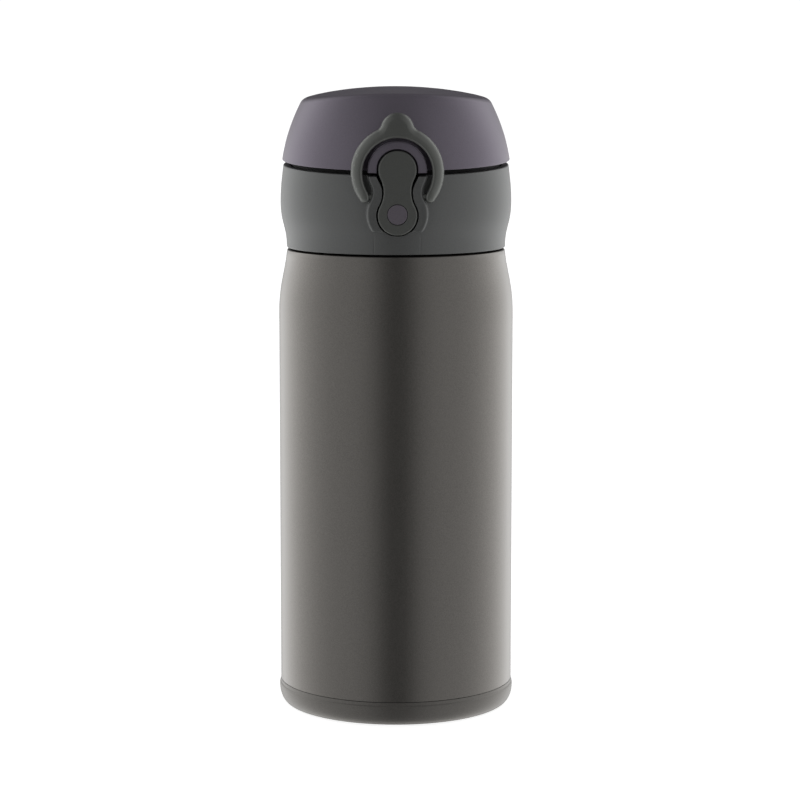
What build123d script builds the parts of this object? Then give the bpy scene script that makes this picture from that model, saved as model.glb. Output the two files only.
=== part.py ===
"""One-touch vacuum flask: double-walled steel bottle, screw-on cap unit, sprung lid with a push
button catch and a swinging lock ring.

Frame: millimetres, +Z up along the bottle's axis, origin at the centre of the base where the
flask stands.  The button faces -Y and the lid's hinge is at +Y.
"""

import os
from math import copysign, sqrt

from build123d import *

os.makedirs("parts", exist_ok=True)

# ---------------------------------------------------------------- driving dimensions
body_radius = 33.0
shell_wall = 0.6
shell_foot_z = 7.0  # lower edge of the painted shell
shoulder_start_z = 113.0
shoulder_top = (30.72, 129.0)
ledge_z = 129.8

neck_radius = 23.6  # outside of the threaded neck
mouth_radius = 20.0  # drinking mouth, 40 mm across
lip_z = 146.0
vessel_wall = 0.5
vessel_radius = 29.9  # inside of the inner vessel
vessel_floor_z = 8.0
foil_gap = 0.05
foil_wall = 0.2

thread_lead = 5.0
thread_height = 1.0
thread_start_z = 133.4

base_radius = 33.36
base_wall = 0.8
base_dish_radius = 25.0
base_dish_depth = 1.6
base_top_z = 6.7

collar_foot_z = 130.5
collar_bore = 29.6  # inside of the collar's outer shell
seam_slope = 0.0547  # the joint between lid and collar climbs towards the hinge
collar_top_z = 153.6  # on the flask's axis
lid_foot_z = 154.8  # on the flask's axis
sleeve_bore = 25.0
sleeve_radius = 27.0
deck_z = 148.4
deck_wall = 1.6

lid_top_z = 174.2
lid_vault_radius = 145.0
lid_vault_tilt = 1.3
lid_wall = 2.0

# catch at the front: a waisted push lever between two posts, below an arch on the lid
lobe_z = 153.5
lobe_radius = 5.17
thumb_z = 141.2
thumb_radius = 5.33
lever_waist = 3.76
lever_front = 35.0
lever_back = 32.2
lever_gap = 0.4
post_front = 34.7
arch_z = 153.05
arch_radius = 8.06
arch_front = 33.9
arch_foot_z = 154.35  # on the flask's axis
post_radius = 8.25
post_z = 141.6
post_waist = 6.75
post_foot_z = 136.7
dot_radius = 2.69
dot_depth = 0.8
lever_pivot = (31.6, 147.6)  # distance in front of the axis, height
lever_pin_radius = 0.75
lever_pin_half = 5.5
lever_hub_radius = 1.75
lever_hub_half = 3.7
crown_radius = 145.0  # the lever's face bows gently from top to bottom
crown_z = 143.0

# lock ring
ring_z = 152.8
ring_hole_z = 152.6
ring_inner = 9.4
ring_outer = 12.6
ring_front = 36.0
ring_back = 33.0
ring_bow = 10.0  # how far behind the flask's axis the ring's curved faces are centred
tab_z = 164.3
tab_radius = 4.5
ring_pivot = (33.4, 146.2)
ring_end_x = 9.04
ring_end_radius = 1.58
trunnion_radius = 0.8

# hinge at the back
hinge_y = 33.4
hinge_z = 154.0
hinge_barrel = 2.6
hinge_pin_radius = 0.9
knuckle_half = 7.45
ear_inner = 7.8
ear_outer = 11.7
ear_foot = 9.5  # how far the ears' ribs run down below the hinge
turning_gap = 0.35
spring_wire = 0.28
spring_coil_radius = 1.45
spring_half = 2.3
spring_room = (5.8, 1.2)  # width and depth of the slots for the spring's legs

# ---------------------------------------------------------------- shared shapes
hinge_axis = Axis((0, hinge_y, hinge_z), (1, 0, 0))


def seam_plane(height):
    """The tilted plane that parts lid and collar, at a height on the axis, facing up."""
    return Plane(origin=(0, 0, height), x_dir=(1, 0, 0), z_dir=(0, -seam_slope, 1))


def front_plane(distance):
    """An upright plane in front of the axis, seen from the front, with heights as its y."""
    return Plane.XZ.offset(distance)


def waisted_outline(top_z, top_radius, low_z, low_radius, half_waist):
    """A figure of eight: two round lobes joined by hollow arcs that touch both lobes."""
    half = (top_z - low_z) / 2
    skew = (top_radius - low_radius) / (4 * half)
    rise = half + skew * (top_radius + low_radius)
    square = 4 * skew**2
    linear = 2 * (top_radius - half_waist) - 4 * skew * rise
    fixed = half_waist**2 + rise**2 - top_radius**2
    hollow = 2 * fixed / (linear + sqrt(linear**2 - 4 * square * fixed))
    reach = hollow + half_waist
    middle = top_z - rise - 2 * skew * hollow
    with BuildSketch() as outline:
        with BuildLine():
            Polyline((0, top_z), (reach, middle), (0, low_z), (-reach, middle), close=True)
        make_face()
        with Locations((reach, middle), (-reach, middle)):
            Circle(hollow, mode=Mode.SUBTRACT)
        with Locations((0, top_z)):
            Circle(top_radius)
        with Locations((0, low_z)):
            Circle(low_radius)
    return outline.sketch


def across(radius, x_from, x_to, y, z):
    """A round bar along X, given its two ends and its axis."""
    centre = Pos((x_from + x_to) / 2, y, z)
    bar = Cylinder(radius, abs(x_to - x_from), rotation=(0, 90, 0), mode=Mode.PRIVATE)
    return centre * bar


def thread_ridge(radius, outward, start_z, turns):
    """One screw ridge of trapezium section on a cylinder, as a solid of its own."""
    foot, crest, bury = 1.15, 0.5, 0.3
    sign = 1 if outward else -1
    with BuildPart() as ridge:
        with BuildLine() as path:
            Helix(thread_lead, thread_lead * turns, radius, center=(0, 0, start_z))
        start = path.line @ 0
        section = Plane(origin=start, x_dir=(1, 0, 0), z_dir=path.line % 0)
        with BuildSketch(section):
            with BuildLine():
                Polyline(
                    (-sign * bury, -foot),
                    (sign * thread_height, -crest),
                    (sign * thread_height, crest),
                    (-sign * bury, foot),
                    close=True,
                )
            make_face()
        sweep(path=path.line, is_frenet=True)
    return ridge.part


def keep(piece, name):
    """Label a finished piece and write it."""
    piece.part.label = name
    export_step(piece.part, f"parts/{name}.step")


post_outline = waisted_outline(arch_z, arch_radius, post_z, post_radius, post_waist)
lever_outline = waisted_outline(lobe_z, lobe_radius, thumb_z, thumb_radius, lever_waist)
lever_opening = waisted_outline(
    lobe_z, lobe_radius + lever_gap, thumb_z, thumb_radius + lever_gap, lever_waist + lever_gap
)
neck_ridge = thread_ridge(neck_radius, True, thread_start_z, 1.5)
sleeve_ridge = thread_ridge(sleeve_bore, False, thread_start_z + thread_lead / 2, 1.5)

# ---------------------------------------------------------------- bottle
with BuildPart() as outer_shell:
    inner = body_radius - shell_wall
    lip_inner = mouth_radius + vessel_wall
    with BuildSketch(Plane.XZ):
        with BuildLine():
            Line((inner, shell_foot_z), (body_radius, shell_foot_z))
            Line((body_radius, shell_foot_z), (body_radius, shoulder_start_z))
            Spline(
                (body_radius, shoulder_start_z), (32.15, 121.0), shoulder_top,
                tangents=[(0, 1), (-0.1, 1)],
            )
            FilletPolyline(
                shoulder_top, (30.64, ledge_z), (neck_radius, ledge_z), (neck_radius, lip_z),
                (lip_inner, lip_z), radius=[0.6, 0.6, 1.4],
            )
            Line((lip_inner, lip_z), (lip_inner, lip_z - shell_wall))
            FilletPolyline(
                (lip_inner, lip_z - shell_wall), (neck_radius - shell_wall, lip_z - shell_wall),
                (neck_radius - shell_wall, ledge_z - shell_wall),
                (30.0, ledge_z - shell_wall), (30.12, 128.2), radius=[0.8, 1.2, 0.2],
            )
            Spline(
                (30.12, 128.2), (31.55, 121.0), (inner, shoulder_start_z),
                tangents=[(0.15, -1), (0, -1)],
            )
            Line((inner, shoulder_start_z), (inner, shell_foot_z))
        make_face()
    revolve(axis=Axis.Z)
    add(neck_ridge)
keep(outer_shell, "outer_shell")

with BuildPart() as inner_vessel:
    outside = vessel_radius + vessel_wall
    throat = mouth_radius + vessel_wall
    shoulder_z = 118.0
    throat_z = 128.0
    with BuildSketch(Plane.XZ):
        with BuildLine():
            FilletPolyline(
                (0, vessel_floor_z - vessel_wall), (outside, vessel_floor_z - vessel_wall),
                (outside, shoulder_z), (throat, throat_z), (throat, lip_z),
                radius=[5.0, 9.0, 4.0],
            )
            Line((throat, lip_z), (mouth_radius, lip_z))
            FilletPolyline(
                (mouth_radius, lip_z), (mouth_radius, throat_z), (vessel_radius, shoulder_z),
                (vessel_radius, vessel_floor_z), (0, vessel_floor_z),
                radius=[4.5, 8.5, 4.5],
            )
            Line((0, vessel_floor_z), (0, vessel_floor_z - vessel_wall))
        make_face()
    revolve(axis=Axis.Z)
keep(inner_vessel, "inner_vessel")

with BuildPart() as radiation_foil:
    foil_inner = vessel_radius + vessel_wall + foil_gap
    with BuildSketch(Plane.XY.offset(16)):
        Circle(foil_inner + foil_wall)
        Circle(foil_inner, mode=Mode.SUBTRACT)
    extrude(amount=92)
keep(radiation_foil, "radiation_foil")

port_radius = 1.5
plate_z = 4.8
with BuildPart() as outer_bottom:
    rim = body_radius - shell_wall
    with BuildSketch(Plane.XZ):
        with BuildLine():
            FilletPolyline(
                (port_radius, plate_z), (rim, plate_z), (rim, 9.5), radius=1.8
            )
            Line((rim, 9.5), (rim - 0.6, 9.5))
            FilletPolyline(
                (rim - 0.6, 9.5), (rim - 0.6, plate_z + 0.6), (port_radius, plate_z + 0.6),
                radius=1.2,
            )
            Line((port_radius, plate_z + 0.6), (port_radius, plate_z))
        make_face()
    revolve(axis=Axis.Z)
keep(outer_bottom, "outer_bottom")

with BuildPart() as vacuum_seal:
    with BuildSketch(Plane.XY.offset(plate_z)):
        Circle(port_radius)
    extrude(amount=0.6)
    with BuildSketch(Plane.XY.offset(plate_z - 0.6)):
        Circle(2.6)
    extrude(amount=0.6)
    fillet(vacuum_seal.faces().sort_by(Axis.Z)[0].edges(), 0.35)
keep(vacuum_seal, "vacuum_seal")

with BuildPart() as getter_pellet:
    with BuildSketch(Plane((14, 0, plate_z + 0.6))):
        Circle(4.5)
    extrude(amount=1.1)
    fillet(getter_pellet.faces().sort_by(Axis.Z)[-1].edges(), 0.3)
keep(getter_pellet, "getter_pellet")

with BuildPart() as base_cup:
    inner = body_radius - shell_wall + 0.05
    heel = base_radius - 2.6
    dish = base_dish_depth
    with BuildSketch(Plane.XZ):
        with BuildLine():
            Line((0, dish), (base_dish_radius, dish))
            Line((base_dish_radius, dish), (base_dish_radius + 1.2, 0))
            Line((base_dish_radius + 1.2, 0), (heel, 0))
            EllipticalCenterArc((heel, 4.8), base_radius - heel, 4.8, -90, arc_size=90)
            Polyline(
                (base_radius, 4.8), (33.3, 5.45), (32.85, 5.75), (33.04, 6.0),
                (33.04, base_top_z - 0.15), (32.9, base_top_z), (inner, base_top_z),
            )
            Line((inner, base_top_z), (inner, 4.9))
            EllipticalCenterArc(
                (heel - 0.3, 4.9), inner - heel + 0.3, 4.9 - base_wall, -90, arc_size=90,
            )
            Polyline(
                (heel - 0.3, base_wall), (base_dish_radius + 1.6, base_wall),
                (base_dish_radius + 0.4, dish + base_wall), (0, dish + base_wall), (0, dish),
            )
        make_face()
    revolve(axis=Axis.Z)
keep(base_cup, "base_cup")

# ---------------------------------------------------------------- cap unit
with BuildPart() as collar_shell:
    with BuildSketch(Plane.XZ):
        with BuildLine():
            Line((collar_bore, collar_foot_z), (30.4, collar_foot_z))
            ThreePointArc((30.4, collar_foot_z), (30.65, 130.6), (30.76, 130.9))
            Spline(
                (30.76, 130.9), (31.0, 133.9), (32.0, 138.2), (32.4, 144.6), (31.65, 153.0),
                (31.2, 158.0), tangents=[(0, 1), (-0.1, 1)],
            )
            Polyline((31.2, 158.0), (collar_bore, 158.0), (collar_bore, collar_foot_z))
        make_face()
    revolve(axis=Axis.Z)
    # posts beside the lever
    with BuildSketch(front_plane(collar_bore)):
        add(post_outline)
        with Locations((0, post_foot_z)):
            Rectangle(30, 12, align=(Align.CENTER, Align.MAX), mode=Mode.SUBTRACT)
    extrude(amount=post_front - collar_bore)
    split(bisect_by=seam_plane(collar_top_z), keep=Keep.BOTTOM)
    # hinge ears
    with BuildSketch(Plane.YZ.offset(-ear_outer)):
        with Locations((hinge_y, hinge_z)):
            Circle(hinge_barrel)
        with BuildLine():
            Polyline(
                (30.5, 155.2), (hinge_y, hinge_z), (hinge_y + hinge_barrel, hinge_z),
                (hinge_y + 1.2, hinge_z - 4.5), (31.6, hinge_z - ear_foot),
                (30.5, hinge_z - ear_foot), close=True,
            )
        make_face()
    extrude(amount=2 * ear_outer)
    # room for the lever, the lid's knuckle and the spring's lower leg
    with BuildSketch(front_plane(collar_bore - 1.5)):
        add(lever_opening)
    extrude(amount=post_front, mode=Mode.SUBTRACT)
    add(
        across(hinge_barrel + turning_gap, -ear_inner, ear_inner, hinge_y, hinge_z),
        mode=Mode.SUBTRACT,
    )
    with Locations((0, hinge_y + 0.4, hinge_z - ear_foot)):
        Box(
            2 * ear_inner, 5.2, ear_foot + 5,
            align=(Align.CENTER, Align.CENTER, Align.MIN), mode=Mode.SUBTRACT,
        )
    # bearings
    add(
        across(hinge_pin_radius, -15, 15, hinge_y, hinge_z),
        mode=Mode.SUBTRACT,
    )
    add(
        across(lever_pin_radius, -lever_pin_half, lever_pin_half, -lever_pivot[0], lever_pivot[1]),
        mode=Mode.SUBTRACT,
    )
    for side in (-1, 1):
        add(
            across(trunnion_radius + 0.06, side * 5.8, side * 9, -ring_pivot[0], ring_pivot[1]),
            mode=Mode.SUBTRACT,
        )
keep(collar_shell, "collar_shell")

with BuildPart() as thread_sleeve:
    with BuildSketch(Plane.XZ):
        with BuildLine():
            Polyline(
                (sleeve_bore, 131.0), (collar_bore, 131.0), (collar_bore, 132.2),
                (sleeve_radius, 132.2), (sleeve_radius, deck_z), (collar_bore, deck_z),
                (collar_bore, deck_z + deck_wall), (19.3, deck_z + deck_wall), (19.3, deck_z),
                (sleeve_bore, deck_z), close=True,
            )
        make_face()
    revolve(axis=Axis.Z)
    add(sleeve_ridge)
    # flat seat for the button spring
    with Locations((0, -27.3, thumb_z)):
        Box(6.4, 2.2, 6.0)
keep(thread_sleeve, "thread_sleeve")

spout_flange_z = 146.8
with BuildPart() as spout:
    with BuildSketch(Plane.XZ):
        with BuildLine():
            Polyline(
                (16.8, 139.8), (18.4, 139.8), (18.4, 141.2), (17.5, 141.2), (17.5, 144.4),
                (18.4, 144.4), (18.4, spout_flange_z), (24.2, spout_flange_z), (24.2, deck_z),
                (19.0, deck_z), (19.0, 151.0),
            )
            Spline((19.0, 151.0), (17.6, 156.5), (17.2, 161.3), tangents=[(0, 1), (0, 1)])
            ThreePointArc((17.2, 161.3), (16.5, 162.0), (15.8, 161.3))
            Spline((15.8, 161.3), (14.9, 157.0), (13.2, 153.0), tangents=[(0, -1), (-1, -0.6)])
            Polyline(
                (13.2, 153.0), (12.0, 152.4), (0, 152.4), (0, 150.9), (16.8, 150.9),
                (16.8, 139.8),
            )
        make_face()
    revolve(axis=Axis.Z)
    # drinking slot near the front and an air vent opposite
    with BuildSketch(Plane.XY.offset(150)):
        with Locations((0, -7.2)):
            SlotOverall(14.0, 6.4)
        with Locations((0, 8.6)):
            Circle(1.6)
    extrude(amount=4, mode=Mode.SUBTRACT)
keep(spout, "spout")

with BuildPart() as neck_gasket:
    with BuildSketch(Plane.XZ):
        with BuildLine():
            Polyline(
                (17.58, 141.5), (18.9, 141.5), (19.7, 141.9), (19.7, 142.4), (19.0, 142.8),
                (19.7, 143.2), (19.7, 143.7), (18.9, 144.1), (17.58, 144.1), close=True,
            )
        make_face()
    revolve(axis=Axis.Z)
keep(neck_gasket, "neck_gasket")

# ---------------------------------------------------------------- push button
with BuildPart() as button_lever:
    with BuildSketch(front_plane(lever_back)):
        add(lever_outline)
    extrude(amount=4)
    with Locations((0, crown_radius - lever_front, crown_z)):
        Cylinder(crown_radius, 40, rotation=(0, 90, 0), mode=Mode.INTERSECT)
    fillet(button_lever.faces().sort_by(Axis.Y)[0].edges(), 0.6)
    add(across(lever_hub_radius, -lever_hub_half, lever_hub_half, -lever_pivot[0], lever_pivot[1]))
    with Locations((0, -lever_back + 0.25, lobe_z + 0.8)):
        Box(5.0, 0.7, 1.4)
    with BuildSketch(front_plane(lever_back - 0.8)):
        with Locations((0, thumb_z)):
            Circle(1.2)
    extrude(amount=0.9)
    with BuildSketch(front_plane(lever_front - dot_depth)):
        with Locations((0, thumb_z + 0.3)):
            Circle(dot_radius + 0.05)
    extrude(amount=2, mode=Mode.SUBTRACT)
    add(
        across(lever_pin_radius + 0.05, -lever_pin_half, lever_pin_half, -lever_pivot[0], lever_pivot[1]),
        mode=Mode.SUBTRACT,
    )
keep(button_lever, "button_lever")

with BuildPart() as button_dot:
    with BuildSketch(front_plane(lever_front - dot_depth)):
        with Locations((0, thumb_z + 0.3)):
            Circle(dot_radius)
    extrude(amount=dot_depth - 0.05)
    fillet(button_dot.faces().sort_by(Axis.Y)[0].edges(), 0.15)
keep(button_dot, "button_dot")

with BuildPart() as button_pin:
    add(across(lever_pin_radius, -lever_pin_half, lever_pin_half, -lever_pivot[0], lever_pivot[1]))
keep(button_pin, "button_pin")

with BuildPart() as button_spring:
    wire, coil, start_y, end_y = 0.22, 1.68, 28.68, 31.92
    with BuildLine() as path:
        Helix(1.0, end_y - start_y, coil, center=(0, -start_y, thumb_z), direction=(0, -1, 0))
    with BuildSketch(Plane(origin=path.line @ 0, z_dir=path.line % 0)):
        Circle(wire)
    sweep(path=path.line, is_frenet=True)
keep(button_spring, "button_spring")

# ---------------------------------------------------------------- lock ring
path_half = arch_radius + 0.4
with BuildPart() as arch_path:
    # the space that the lid's arch sweeps through as the lid opens
    reach = sqrt((arch_front + hinge_y) ** 2 + (arch_z + arch_radius - hinge_z) ** 2)
    with BuildSketch(Plane(origin=(0, hinge_y, hinge_z), x_dir=(1, 0, 0), z_dir=(0, 0, 1))):
        with Locations((0, arch_front - reach)):
            Circle(arch_front + turning_gap)
        with Locations((0, -reach)):
            Rectangle(2 * path_half, 40, mode=Mode.INTERSECT)
    revolve(axis=hinge_axis, revolution_arc=-30)

with BuildPart() as post_path:
    # the space beside the posts' lower lobes as the ring swings, a disc turned about its pivot
    drop = ring_pivot[1] - post_z
    with BuildSketch(Plane(origin=(0, -ring_pivot[0], ring_pivot[1]), z_dir=(0, 0, 1))):
        with Locations((0, drop)):
            Circle(post_radius + 0.15)
        Rectangle(30, 30, align=(Align.CENTER, Align.MIN), mode=Mode.INTERSECT)
    revolve(axis=Axis((0, -ring_pivot[0], ring_pivot[1]), (1, 0, 0)))

with BuildPart() as ring_ends:
    # everything below the pivot that lies outside a round end
    with Locations((0, -ring_pivot[0], ring_pivot[1])):
        Box(40, 20, 10, align=(Align.CENTER, Align.CENTER, Align.MAX))
    add(
        across(ring_end_radius, -20, 20, -ring_pivot[0], ring_pivot[1]),
        mode=Mode.SUBTRACT,
    )

with BuildPart() as lock_ring:
    with BuildSketch(front_plane(ring_back - 6)) as ring_outline:
        with Locations(Location((0, ring_z, 0), (0, 0, 90))):
            Circle(ring_outer)
        with Locations(Location((0, tab_z, 0), (0, 0, 90))):
            Circle(tab_radius)
        fillet(ring_outline.vertices().filter_by(lambda v: abs(v.X) > 1), 2.5)
        with Locations((0, ring_hole_z)):
            Circle(ring_inner, mode=Mode.SUBTRACT)
        with Locations((0, ring_pivot[1])):
            Rectangle(30, 10, align=(Align.CENTER, Align.MAX), mode=Mode.SUBTRACT)
        with Locations((-ring_end_x, ring_pivot[1]), (ring_end_x, ring_pivot[1])):
            Circle(ring_end_radius)
    extrude(amount=12)
    with Locations((0, ring_bow, 155)):
        Cylinder(ring_front + ring_bow, 60, mode=Mode.INTERSECT)
        Cylinder(ring_back + ring_bow, 60, mode=Mode.SUBTRACT)
    add(arch_path.part, mode=Mode.SUBTRACT)
    add(post_path.part, mode=Mode.SUBTRACT)
    add(ring_ends.part, mode=Mode.SUBTRACT)
    for side in (-1, 1):
        add(across(trunnion_radius, side * 5.9, side * ring_end_x, -ring_pivot[0], ring_pivot[1]))
keep(lock_ring, "lock_ring")

# ---------------------------------------------------------------- hinge
with BuildPart() as hinge_pin:
    add(across(hinge_pin_radius, -ear_outer, ear_outer, hinge_y, hinge_z))
    chamfer(hinge_pin.edges(), 0.2)
keep(hinge_pin, "hinge_pin")

with BuildPart() as spring_coil:
    start = (-spring_half, hinge_y, hinge_z)
    with BuildLine() as path:
        Helix(0.92, 2 * spring_half, spring_coil_radius, center=start, direction=(1, 0, 0))
    with BuildSketch(Plane(origin=path.line @ 0, z_dir=path.line % 0)):
        Circle(spring_wire)
    sweep(path=path.line, is_frenet=True)

with BuildPart() as hinge_spring:
    add(spring_coil.part.rotate(hinge_axis, 90))
    # legs a little thicker than the coil's wire, so that they join it cleanly
    for side, leg in ((-1, 4.2), (1, -3.8)):
        with BuildSketch(Plane.XY.offset(hinge_z - copysign(0.1, leg))):
            with Locations((side * spring_half, hinge_y - spring_coil_radius)):
                Circle(spring_wire + 0.02)
        extrude(amount=leg)
keep(hinge_spring, "hinge_spring")

# ---------------------------------------------------------------- lid
with BuildPart() as lid_cavity:
    with BuildSketch(Plane.XZ):
        with BuildLine():
            Polyline((0, 150), (29.9, 150), (29.75, 154.5))
            Spline((29.75, 154.5), (28.7, 160.0), (26.9, 165.8), tangents=[(0, 1), (-0.4, 1)])
            Polyline((26.9, 165.8), (25.6, 165.8))
            Spline((25.6, 165.8), (24.2, 169.4), (21.9, 173.0), tangents=[(-0.3, 1), (-1, 1)])
            Polyline((21.9, 173.0), (0, 173.0), (0, 150))
        make_face()
    revolve(axis=Axis.Z)
    with Locations((0, 0, lid_top_z - lid_vault_radius)):
        Cylinder(
            lid_vault_radius - lid_wall, 90, rotation=(lid_vault_tilt - 90, 0, 0),
            mode=Mode.INTERSECT,
        )

with BuildPart() as lid_arch:
    with BuildSketch(front_plane(29.2)):
        with Locations((0, arch_z)):
            Circle(arch_radius)
        with Locations((0, lobe_z)):
            Circle(lobe_radius + lever_gap, mode=Mode.SUBTRACT)
    extrude(amount=8)
    with Locations((0, 0, 155)):
        Cylinder(arch_front, 60, mode=Mode.INTERSECT)
    split(bisect_by=seam_plane(arch_foot_z), keep=Keep.TOP)
    fillet(lid_arch.edges().filter_by(GeomType.BSPLINE), 0.35)

with BuildPart() as lid_shell:
    with BuildSketch(Plane.XZ):
        with BuildLine():
            Spline(
                (32.0, 152.5), (31.4, 157.5), (30.1, 162.5), (27.8, 168.4), (23.2, 175.5),
                tangents=[(0, 1), (-0.85, 1)],
            )
            Polyline((23.2, 175.5), (0, 175.5), (0, 152.5), (32.0, 152.5))
        make_face()
    revolve(axis=Axis.Z)
    with Locations((0, 0, lid_top_z - lid_vault_radius)):
        Cylinder(
            lid_vault_radius, 90, rotation=(lid_vault_tilt - 90, 0, 0), mode=Mode.INTERSECT
        )
    fillet(lid_shell.faces().sort_by(Axis.Z)[-1].edges(), 1.0)
    split(bisect_by=seam_plane(lid_foot_z), keep=Keep.TOP)
    add(lid_cavity.part, mode=Mode.SUBTRACT)
    # recess behind the lever's upper lobe, and the catch below it
    with BuildSketch(front_plane(31.4)):
        with Locations((0, lobe_z)):
            Circle(lobe_radius + lever_gap)
    extrude(amount=4, mode=Mode.SUBTRACT)
    add(lid_arch.part)
    with Locations((0, -30.6, 152.9)):
        Box(7.2, 1.4, 4.6)
    # hinge knuckle
    with BuildSketch(Plane.YZ.offset(-knuckle_half)):
        with Locations((hinge_y, hinge_z)):
            Circle(hinge_barrel)
        with BuildLine():
            Polyline(
                (hinge_y - 1.2, hinge_z), (hinge_y + hinge_barrel, hinge_z), (33.8, 158.6),
                (30.2, 162.0), (29.2, 161.0), (29.8, 157.0), close=True,
            )
        make_face()
    extrude(amount=2 * knuckle_half)
    for side in (-1, 1):
        add(
            across(
                hinge_barrel + turning_gap, side * knuckle_half, side * (ear_outer + 0.4),
                hinge_y, hinge_z,
            ),
            mode=Mode.SUBTRACT,
        )
    add(across(hinge_pin_radius + 0.06, -15, 15, hinge_y, hinge_z), mode=Mode.SUBTRACT)
    spring_end = spring_room[0] / 2
    add(
        across(spring_coil_radius + 0.55, -spring_end, spring_end, hinge_y, hinge_z),
        mode=Mode.SUBTRACT,
    )
    with Locations((0, hinge_y - spring_coil_radius + 0.1, hinge_z + 0.7)):
        Box(*spring_room, 8.0, mode=Mode.SUBTRACT)
keep(lid_shell, "lid_shell")

liner_z = 164.2
with BuildPart() as lid_liner:
    with BuildSketch(Plane.XY.offset(liner_z)):
        Circle(26.7)
        Circle(4.1, mode=Mode.SUBTRACT)
    extrude(amount=1.6)
    with BuildSketch(Plane.XY.offset(liner_z - 1.4)):
        Circle(19.4)
        Circle(17.9, mode=Mode.SUBTRACT)
    extrude(amount=1.4)
keep(lid_liner, "lid_liner")

with BuildPart() as lid_gasket:
    with BuildSketch(Plane.XZ):
        with BuildLine():
            Polyline(
                (0, 160.9), (12.6, 160.9), (14.8, 162.3), (17.8, 162.3), (17.8, liner_z),
                (4.1, liner_z), (4.1, liner_z + 1.6), (5.6, liner_z + 1.6),
                (4.9, liner_z + 2.9), (0, liner_z + 2.9), close=True,
            )
        make_face()
    revolve(axis=Axis.Z)
keep(lid_gasket, "lid_gasket")
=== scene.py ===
import math

import bmesh
import bpy
import numpy as np
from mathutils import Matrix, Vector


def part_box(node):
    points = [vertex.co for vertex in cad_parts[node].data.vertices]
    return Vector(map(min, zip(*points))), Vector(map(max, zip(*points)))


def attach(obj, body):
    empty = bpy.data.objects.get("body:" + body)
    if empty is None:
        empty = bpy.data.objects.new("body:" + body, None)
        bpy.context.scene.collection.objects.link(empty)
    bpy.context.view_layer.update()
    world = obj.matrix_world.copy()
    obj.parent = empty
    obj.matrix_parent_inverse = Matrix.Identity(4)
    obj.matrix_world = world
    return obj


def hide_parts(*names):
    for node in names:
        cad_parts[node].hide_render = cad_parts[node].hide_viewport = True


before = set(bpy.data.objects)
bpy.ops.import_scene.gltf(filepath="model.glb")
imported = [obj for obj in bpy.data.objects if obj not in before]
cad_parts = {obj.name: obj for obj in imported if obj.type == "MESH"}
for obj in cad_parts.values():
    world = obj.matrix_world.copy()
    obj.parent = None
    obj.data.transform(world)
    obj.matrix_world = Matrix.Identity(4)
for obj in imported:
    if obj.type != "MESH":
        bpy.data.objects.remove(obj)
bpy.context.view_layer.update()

# One-touch vacuum flask.  Shapes below are written in millimetres and turned to metres as each
# mesh is made.  +Z is up along the bottle, the button faces -Y and the lid's hinge is at +Y.
MM = 0.001


def corners(node):
    """Lowest and highest corner of a CAD node, in millimetres."""
    low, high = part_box(node)
    return low / MM, high / MM


# ---------------------------------------------------------------- driving dimensions
shell_high = corners("outer_shell")[1]
cup_high = corners("base_cup")[1]
ring_low, ring_high = corners("lock_ring")
lever_low = corners("button_lever")[0]
pin_low, pin_high = corners("hinge_pin")
dot_low, dot_high = corners("button_dot")

body_radius = round(shell_high.x, 1)
shell_wall = 0.6
shell_foot = cup_high.z + 0.08
ledge = 129.8
lip = shell_high.z
neck_radius = 23.6
mouth_radius = 20.5
thread_lead, thread_height, thread_start, thread_turns = 5.0, 1.0, 133.4, 1.5

cup_radius = cup_high.x
cup_top = cup_high.z
cup_rim, cup_bore = 33.04, 32.45
heel_in, heel_high = 2.6, 4.8
base_radius, base_low, base_high = 25.0, 1.6, 2.4
foot_inner, foot_outer = 26.2, 28.0

front_half = 20.0  # cuts in the front end this far before the axis
seam_slope = 0.0547
seam_edge = 0.32
collar_foot = 130.3
collar_bore = 29.6
collar_top = 153.6
lid_foot = 154.8
lid_top = 174.2
vault_radius = 145.0
vault_tilt = math.radians(1.3)
lid_wall = 2.0
lid_edge = 1.1
lid_foot_radius, lid_lean, lid_bend = 31.93, 0.15, 0.0112
liner_radius, liner_step = 26.85, 163.6

lobe_z, lobe_radius = 153.5, 5.17
thumb_z, thumb_radius = 141.2, 5.33
lever_waist, lever_gap = 3.76, 0.36
lever_front, lever_back = -lever_low.y, 32.2
crown_radius, crown_z = 145.0, 143.0
arch_z, arch_radius, arch_front, arch_foot = 153.05, 8.06, 33.9, 154.35
arch_back, recess_back = 29.4, 31.4
moat_width, moat_depth = 1.3, 1.1
tongue_half, tongue_back, tongue_low, tongue_high = 3.6, 29.9, 150.6, 156.0
parting_x, parting_width, parting_depth = 6.3, 0.13, 0.035
post_z, post_radius, post_waist, post_foot, post_front = 141.6, 8.25, 6.75, 136.7, 34.7
lever_pivot, lever_pin_radius = (-31.6, 147.6), 0.8
hub_radius, hub_half = 1.75, 3.6
lobe_gap = 0.75
dot_centre = (dot_low.z + dot_high.z) / 2
dot_radius = dot_high.x
dot_front = -dot_low.y
dot_depth, dish_depth, dish_gap = 0.7, 0.75, 0.15

ring_z, ring_hole_z, ring_inner, ring_outer = 152.8, 152.6, 9.4, ring_high.x
ring_front, ring_back, ring_bow = -ring_low.y, 33.0, 10.0
tab_z, tab_radius, tab_hollow = 164.3, 4.5, 2.5
ring_pivot = (-33.4, 146.2)
ring_end_x, ring_end_radius = 9.04, 1.58
trunnion_radius, trunnion_end = 0.8, 5.9

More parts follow.
